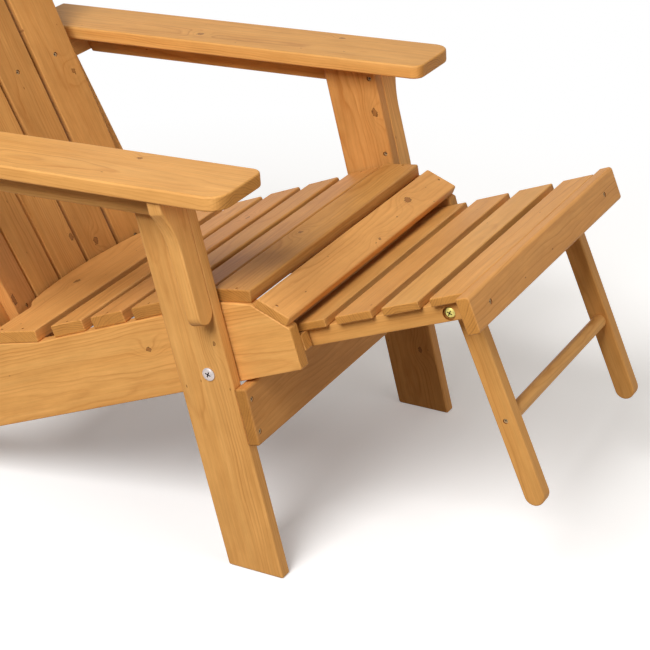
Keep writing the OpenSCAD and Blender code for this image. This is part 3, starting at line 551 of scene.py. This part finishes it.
def fastener_tree():
    """Geometry Nodes that set a headed fastener, with or without a cross recess, on each point.
    The point is the middle of the head's top, and its attribute "axis" points out of the wood."""
    tree = bpy.data.node_groups.new("headed_fastener", "GeometryNodeTree")
    tree.is_modifier = True
    sizes = (
        "Head Radius", "Top Radius", "Crown Height", "Rim Height", "Neck Height",
        "Shank Radius", "Shank Length", "Recess Reach", "Recess Width", "Recess Depth",
    )
    tree.interface.new_socket("Geometry", in_out="INPUT", socket_type="NodeSocketGeometry")
    for size in sizes:
        tree.interface.new_socket(size, in_out="INPUT", socket_type="NodeSocketFloat")
    tree.interface.new_socket("Cross Recess", in_out="INPUT", socket_type="NodeSocketBool")
    tree.interface.new_socket("Material", in_out="INPUT", socket_type="NodeSocketMaterial")
    tree.interface.new_socket("Geometry", in_out="OUTPUT", socket_type="NodeSocketGeometry")
    given = add(tree, "NodeGroupInput")

    # The skin of the head and shank, ring by ring downwards, welded into one closed solid
    sides = 40
    skin = []
    foot = 0.0
    for wide, narrow, height in (
        ("Top Radius", "Head Radius", "Crown Height"),
        ("Head Radius", "Head Radius", "Rim Height"),
        ("Head Radius", "Shank Radius", "Neck Height"),
        ("Shank Radius", "Shank Radius", "Shank Length"),
    ):
        cone = {
            "Vertices": sides, "Radius Top": given[wide], "Radius Bottom": given[narrow],
            "Depth": given[height],
        }
        ring = add(tree, "GeometryNodeMeshCone", cone, fill_type="NONE")["Mesh"]
        foot = add(tree, "ShaderNodeMath", [foot, given[height]], operation="SUBTRACT")[0]
        shift = add(tree, "ShaderNodeCombineXYZ", {2: foot})[0]
        skin.append(add(tree, "GeometryNodeTransform", {"Geometry": ring, "Translation": shift})[0])
    discs = []
    for size in ("Top Radius", "Shank Radius"):
        disc = {"Vertices": sides, "Radius": given[size]}
        discs.append(add(tree, "GeometryNodeMeshCircle", disc, fill_type="NGON")["Mesh"])
    lid, sole = discs
    sole = add(tree, "GeometryNodeTransform", {"Geometry": sole, "Translation": shift})[0]
    sole = add(tree, "GeometryNodeFlipFaces", {"Mesh": sole})["Mesh"]
    shell = add(tree, "GeometryNodeJoinGeometry", {0: [*skin, lid, sole]})[0]
    weld = {"Geometry": shell, "Distance": 0.001 * MM}
    solid = add(tree, "GeometryNodeMergeByDistance", weld)["Geometry"]

    # The cross recess: two bars cut out of the head's top
    length = add(tree, "ShaderNodeMath", [given["Recess Reach"], 2.0], operation="MULTIPLY")[0]
    depth = add(tree, "ShaderNodeMath", [given["Recess Depth"], 2.0], operation="MULTIPLY")[0]
    width = given["Recess Width"]
    bars = []
    for size in ([length, width, depth], [width, length, depth]):
        extent = add(tree, "ShaderNodeCombineXYZ", size)[0]
        bars.append(add(tree, "GeometryNodeMeshCube", {"Size": extent})["Mesh"])
    cross = add(tree, "GeometryNodeJoinGeometry", {0: bars})[0]
    cut = {"Mesh 1": solid, "Mesh 2": cross, "Self Intersection": True}
    slotted = add(tree, "GeometryNodeMeshBoolean", cut, operation="DIFFERENCE", solver="EXACT")["Mesh"]

    # Its walls and floor are marked for the painted shade of the finish: faces below the top and
    # inside its reach
    margin = 0.02 * MM
    spot = add(tree, "GeometryNodeInputPosition")[0]
    height = add(tree, "ShaderNodeSeparateXYZ", [spot])[2]
    level = add(tree, "ShaderNodeVectorMath", [spot, (1, 1, 0)], operation="MULTIPLY")[0]
    off_axis = add(tree, "ShaderNodeVectorMath", [level], operation="LENGTH")["Value"]
    deepest = add(
        tree, "ShaderNodeMath", [given["Recess Depth"], -1.0, -margin], operation="MULTIPLY_ADD"
    )[0]
    inside = 1.0
    for value, test, bound in (
        (height, "LESS_THAN", -margin),
        (height, "GREATER_THAN", deepest),
        (off_axis, "LESS_THAN", given["Recess Reach"]),
    ):
        passed = add(tree, "ShaderNodeMath", [value, bound], operation=test)[0]
        inside = add(tree, "ShaderNodeMath", [inside, passed], operation="MULTIPLY")[0]
    mark = {"Geometry": slotted, "Name": "recess", "Value": inside}
    kinds = {"data_type": "FLOAT", "domain": "FACE"}
    slotted = add(tree, "GeometryNodeStoreNamedAttribute", mark, **kinds)[0]
    choice = {"Switch": given["Cross Recess"], "False": solid, "True": slotted}
    whole = add(tree, "GeometryNodeSwitch", choice, input_type="GEOMETRY")[0]

    # Each one stands along its point's axis, turned as the driver happened to leave it
    axis = add(tree, "GeometryNodeInputNamedAttribute", {"Name": "axis"}, data_type="FLOAT_VECTOR")[0]
    facing = add(tree, "FunctionNodeAlignRotationToVector", {"Vector": axis}, axis="Z")[0]
    turns = {"Min": 0.0, "Max": math.tau, "Seed": 7}
    spin = add(tree, "FunctionNodeRandomValue", turns, data_type="FLOAT")["Value"]
    turn = add(tree, "FunctionNodeAxisAngleToRotation", {"Axis": (0, 0, 1), "Angle": spin})[0]
    turned = {"Rotation": facing, "Rotate By": turn}
    facing = add(tree, "FunctionNodeRotateRotation", turned, rotation_space="LOCAL")[0]
    copies = {"Points": given["Geometry"], "Instance": whole, "Rotation": facing}
    placed = add(tree, "GeometryNodeInstanceOnPoints", copies)[0]
    real = add(tree, "GeometryNodeRealizeInstances", {"Geometry": placed})[0]
    coated = {"Geometry": real, "Material": given["Material"]}
    finished = add(tree, "GeometryNodeSetMaterial", coated)[0]
    add(tree, "NodeGroupOutput", [finished])
    return tree


FASTENER = fastener_tree()
SAME = 0.01 * MM  # lengths closer than this are one
MICROMETRES = 6  # the decimals that a height is rounded to


def shells(mesh):
    """The vertices of each separate solid in a bmesh, one list a solid, in the mesh's order."""
    found, seen = [], set()
    for start in mesh.verts:
        if start in seen:
            continue
        seen.add(start)
        solid = [start]
        for vert in solid:  # the list grows while it is walked, until the solid is complete
            for edge in vert.link_edges:
                beyond = edge.other_vert(vert)
                if beyond not in seen:
                    seen.add(beyond)
                    solid.append(beyond)
        found.append(solid)
    return found


def seat_of(solid):
    """Where a plain fastener sits: the middle of its head's top, the direction out of the wood,
    and its outline, as each point's height above that middle and its distance from the axis."""
    most_corners_of_a_side = 8
    places = [vert.co for vert in solid]
    middle = sum(places, Vector()) / len(places)
    far = max(places, key=lambda p: (p - middle).length)
    other = max(places, key=lambda p: (p - far).length)
    faces = dict.fromkeys(face for vert in solid for face in vert.link_faces)
    caps = [face for face in faces if len(face.verts) > most_corners_of_a_side]
    axis = max(caps, key=lambda f: abs(f.normal.dot(far - other))).normal.copy()
    cap = max(caps, key=lambda f: f.calc_center_median().dot(axis))
    centre = cap.calc_center_median()
    outline = []
    for place in places:
        height = (place - centre).dot(axis)
        outline.append((round(height, MICROMETRES), (place - centre - axis * height).length))
    outline.sort()
    # The head is at the wider end, so a fastener found upside down is turned over
    half = (outline[0][0] + outline[-1][0]) / 2
    widest_below = max(radius for height, radius in outline if height < half)
    widest_above = max(radius for height, radius in outline if height >= half)
    if widest_below > widest_above:
        lowest = outline[0][0]
        centre = centre + axis * lowest
        axis.negate()
        outline = sorted((round(lowest - height, MICROMETRES), radius) for height, radius in outline)
    return centre, axis, outline


def head_and_shank(outline):
    """The sizes of a detailed fastener, from the outline of the plain one in its place."""
    head = max(radius for height, radius in outline)
    shank = min(radius for height, radius in outline if radius > SAME)
    rim = [height for height, radius in outline if radius > head - SAME]
    if max(rim) - min(rim) < SAME:  # countersunk: the top gets a small round, and a thin rim
        rounding = 0.25 * MM
        top = head - rounding
        crown = 3 * rounding
        rim_height = rounding
        neck_foot = max(
            height
            for height, radius in outline
            if radius < shank + SAME and height < min(rim) - SAME
        )
    else:
        top = max(radius for height, radius in outline if height > -SAME)
        crown = -max(rim)
        rim_height = max(rim) - min(rim)
        neck_foot = min(rim)
    return {
        "Head Radius": head,
        "Top Radius": top,
        "Crown Height": crown,
        "Rim Height": rim_height,
        "Neck Height": -neck_foot - crown - rim_height,
        "Shank Radius": shank,
        "Shank Length": neck_foot - outline[0][0],
    }


def fasteners(name, node, body, material, recess=None, proud=0.0):
    """Detailed fasteners in the places and at the sizes of a CAD node's plain ones.
    recess is the cross recess's reach, width and depth as shares of the head's radius, and proud
    is how much higher the heads sit than the plain ones."""
    mesh = merged(node)
    seats = [seat_of(solid) for solid in shells(mesh)]
    mesh.free()
    values = head_and_shank(seats[0][2])
    for label, share in zip(("Recess Reach", "Recess Width", "Recess Depth"), recess or ()):
        values[label] = share * values["Head Radius"]
    values["Cross Recess"] = recess is not None
    values["Material"] = material

    points = bpy.data.meshes.new(name)
    points.from_pydata([centre + axis * proud for centre, axis, outline in seats], [], [])
    out = points.attributes.new("axis", "FLOAT_VECTOR", "POINT")
    for index, (centre, axis, outline) in enumerate(seats):
        out.data[index].vector = axis
    piece = bpy.data.objects.new(name, points)
    bpy.context.scene.collection.objects.link(piece)
    maker = piece.modifiers.new("headed_fastener", "NODES")
    maker.node_group = FASTENER
    sockets = {s.name: s.identifier for s in FASTENER.interface.items_tree if s.in_out == "INPUT"}
    for label, value in values.items():
        maker[sockets[label]] = value
    depsgraph = bpy.context.evaluated_depsgraph_get()
    data = bpy.data.meshes.new_from_object(piece.evaluated_get(depsgraph))
    piece.modifiers.clear()
    piece.data = data
    data.materials.clear()
    data.materials.append(material)
    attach(piece, body)
    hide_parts(node)


def plated(nodes, material):
    """Gives CAD nodes whose own shape is right a plated finish."""
    for node in nodes:
        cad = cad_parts[node]
        cad.data.materials.clear()
        cad.data.materials.append(material)


CLEAR_ZINC = plated_steel("clear_zinc_plate", "#D9CFCC", "#A9A19E", rough=0.3)
BOLT_CROSS = (0.46, 0.19, 0.14)
fasteners("bolt_heads_leg", "leg_bolts", "chair_frame", CLEAR_ZINC, BOLT_CROSS)
plated(("leg_washers", "tee_nuts"), CLEAR_ZINC)

# ---- Pivot bolts ----
# The ottoman's legs turn on bolts of yellow zinc plate, let into counterbores in its rails, each
# with a spacer and a locking nut.
YELLOW_ZINC = plated_steel("yellow_zinc_plate", "#E3D27C", "#BFB166", rough=0.28)
PIVOT_CROSS = (0.56, 0.2, 0.12)
fasteners(
    "bolt_heads_pivot", "pivot_bolts", "ottoman", YELLOW_ZINC, PIVOT_CROSS
)
plated(("pivot_spacers", "pivot_nuts"), YELLOW_ZINC)

# ---- Wood screws ----
# Countersunk steel screws driven down their drilled holes and brushed over with the wood's stain. They
# show as small dark holes, darkened by painted shade on the hole walls and in the cross recess, with a
# glint of steel.
STAINED_STEEL = plated_steel(
    "stained_over_steel", "#D2B68C", "#A5814F", rough=0.42, metallic=0.3
)
SCREW_CROSS = (0.6, 0.25, 0.18)
# Where each kind is, the body it rides on, and how much higher its heads sit than the plain ones
SCREWS = (
    ("apron", "chair_frame", 1.6 * MM),
    ("bracket", "chair_frame", 0.0),
    ("back", "chair_frame", 0.4 * MM),
    ("end_board", "ottoman", 1.4 * MM),
    ("dowel", "ottoman_legs", 0.8 * MM),
)
for kind, body, proud in SCREWS:
    fasteners(
        f"wood_screws_{kind}", f"{kind}_screws", body, STAINED_STEEL, SCREW_CROSS, proud
    )

# ---- Seat nails ----
# Lost-head steel nails through each end of a slat into the stringer, one in a plain slat and two
# in the wide rear one. They were punched just below the slats' faces and stained with them.
fasteners("nails_seat", "seat_nails", "chair_frame", STAINED_STEEL)

# ---- Floor, light and camera ----
# A white paper floor under a plain white sky, a large soft lamp high on one side, a weaker one
# low in front, and the camera. The paper sends only a little warm light back up at the chair.
WHITE = (1, 1, 1, 1)


def white_paper():
    """A sweep of matt white paper. The eye sees it white, with the chair's soft shadow near its
    middle, and it sends only a little warm light back to the wood."""
    material = bpy.data.materials.new("white_paper_sweep")
    material.use_nodes = True
    tree = material.node_tree
    tree.nodes.clear()
    place = add(tree, "ShaderNodeTexCoord")["Object"]
    from_middle = add(tree, "ShaderNodeVectorMath", [place], operation="LENGTH")["Value"]
    # Under the chair the paper glows a little, and more round it, which keeps the shadow soft
    brightening = {"From Min": 0.1, "From Max": 0.9, "To Min": 0.16, "To Max": 0.4}
    glow = add(tree, "ShaderNodeMapRange", {"Value": from_middle, **brightening})[0]
    matt = add(tree, "ShaderNodeBsdfDiffuse", [linear("#F4F4F4")])[0]
    lit = add(tree, "ShaderNodeEmission", [WHITE, glow])[0]
    near = add(tree, "ShaderNodeAddShader", [matt, lit])[0]
    # Further off it is plain white. Only what sees or mirrors it finds it so: it lights the
    # chair as dimly and warmly as brown card would
    plain = add(tree, "ShaderNodeEmission", [WHITE, 1.0])[0]
    distance = {"Value": from_middle, "From Min": 0.8, "From Max": 1.5}
    far_off = add(tree, "ShaderNodeMapRange", distance)[0]
    shown = add(tree, "ShaderNodeMixShader", [far_off, near, plain])[0]
    dim = add(tree, "ShaderNodeBsdfDiffuse", [linear("#7A6650")])[0]
    rays = add(tree, "ShaderNodeLightPath")
    seen = add(
        tree, "ShaderNodeMath", [rays["Is Camera Ray"], rays["Is Glossy Ray"]], operation="MAXIMUM"
    )[0]
    sweep = add(tree, "ShaderNodeMixShader", [seen, dim, shown])[0]
    add(tree, "ShaderNodeOutputMaterial", [sweep])
    return material


FLOOR_REACH = 14.0  # metres
floor_data = bpy.data.meshes.new("studio_floor")
quarters = ((-1, -1), (1, -1), (1, 1), (-1, 1))
corners = [(FLOOR_REACH * x, FLOOR_REACH * y, 0) for x, y in quarters]
floor_data.from_pydata(corners, [], [(0, 1, 2, 3)])
floor_data.materials.append(white_paper())
floor = bpy.data.objects.new("studio_floor", floor_data)
bpy.context.scene.collection.objects.link(floor)

# The sky lights the chair weakly, and is pure white where it is seen, mirrored or seen through
world = bpy.data.worlds.new("studio_sky")
bpy.context.scene.world = world
world.use_nodes = True
sky = world.node_tree
sky.nodes.clear()
rays = add(sky, "ShaderNodeLightPath")
seen = rays["Is Camera Ray"]
for kind in ("Is Glossy Ray", "Is Transmission Ray"):
    seen = add(sky, "ShaderNodeMath", [seen, rays[kind]], operation="MAXIMUM")[0]
lighting = add(sky, "ShaderNodeBackground", [linear("#FFF1DE"), 0.23])[0]
backdrop = add(sky, "ShaderNodeBackground", [WHITE, 1.0])[0]
blend = add(sky, "ShaderNodeMixShader", [seen, lighting, backdrop])[0]
add(sky, "ShaderNodeOutputWorld", [blend])

# Each lamp's place, its width and its power in watts
LAMPS = (
    ("key_softbox", (-3.7, 0.1, 4.1), 2.6, 285),
    ("front_fill", (-0.9, -4.8, 1.2), 3.0, 70),
)
SEAT_MIDDLE = Vector((0, 0, 0.4))
for label, lamp_place, width, power in LAMPS:
    lamp_data = bpy.data.lights.new(label, "AREA")
    lamp_data.size = width
    lamp_data.energy = power
    lamp = bpy.data.objects.new(label, lamp_data)
    bpy.context.scene.collection.objects.link(lamp)
    aim = SEAT_MIDDLE - Vector(lamp_place)
    turn = aim.to_track_quat("-Z", "Y").to_matrix().to_4x4()
    lamp.matrix_world = Matrix.Translation(lamp_place) @ turn

# A long lens, shifted a little, because the chair isn't framed on its middle
camera_data = bpy.data.cameras.new("camera")
camera_data.sensor_width = 36
camera_data.lens = 107.8
camera_data.shift_x = -0.082
camera_data.shift_y = 0.062
camera = bpy.data.objects.new("camera", camera_data)
bpy.context.scene.collection.objects.link(camera)
# The camera looks down at the chair from its right and front, and is very slightly tipped
azimuth, elevation, roll = (math.radians(a) for a in (-62.4, 27.24, -0.84))
look = Vector((
    -math.sin(azimuth) * math.cos(elevation),
    math.cos(azimuth) * math.cos(elevation),
    -math.sin(elevation),
))
level = Vector((math.cos(azimuth), math.sin(azimuth), 0))
upright = level.cross(look)
right = level * math.cos(roll) + upright * math.sin(roll)
upright = upright * math.cos(roll) - level * math.sin(roll)
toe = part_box("front_leg_left")[0].y
stand = (-2.1805, toe - 1.1491, 1.4710)
facing = Matrix((right, upright, -look)).transposed().to_4x4()
camera.matrix_world = Matrix.Translation(stand) @ facing
bpy.context.scene.camera = camera
bpy.context.scene.view_settings.view_transform = "Standard"
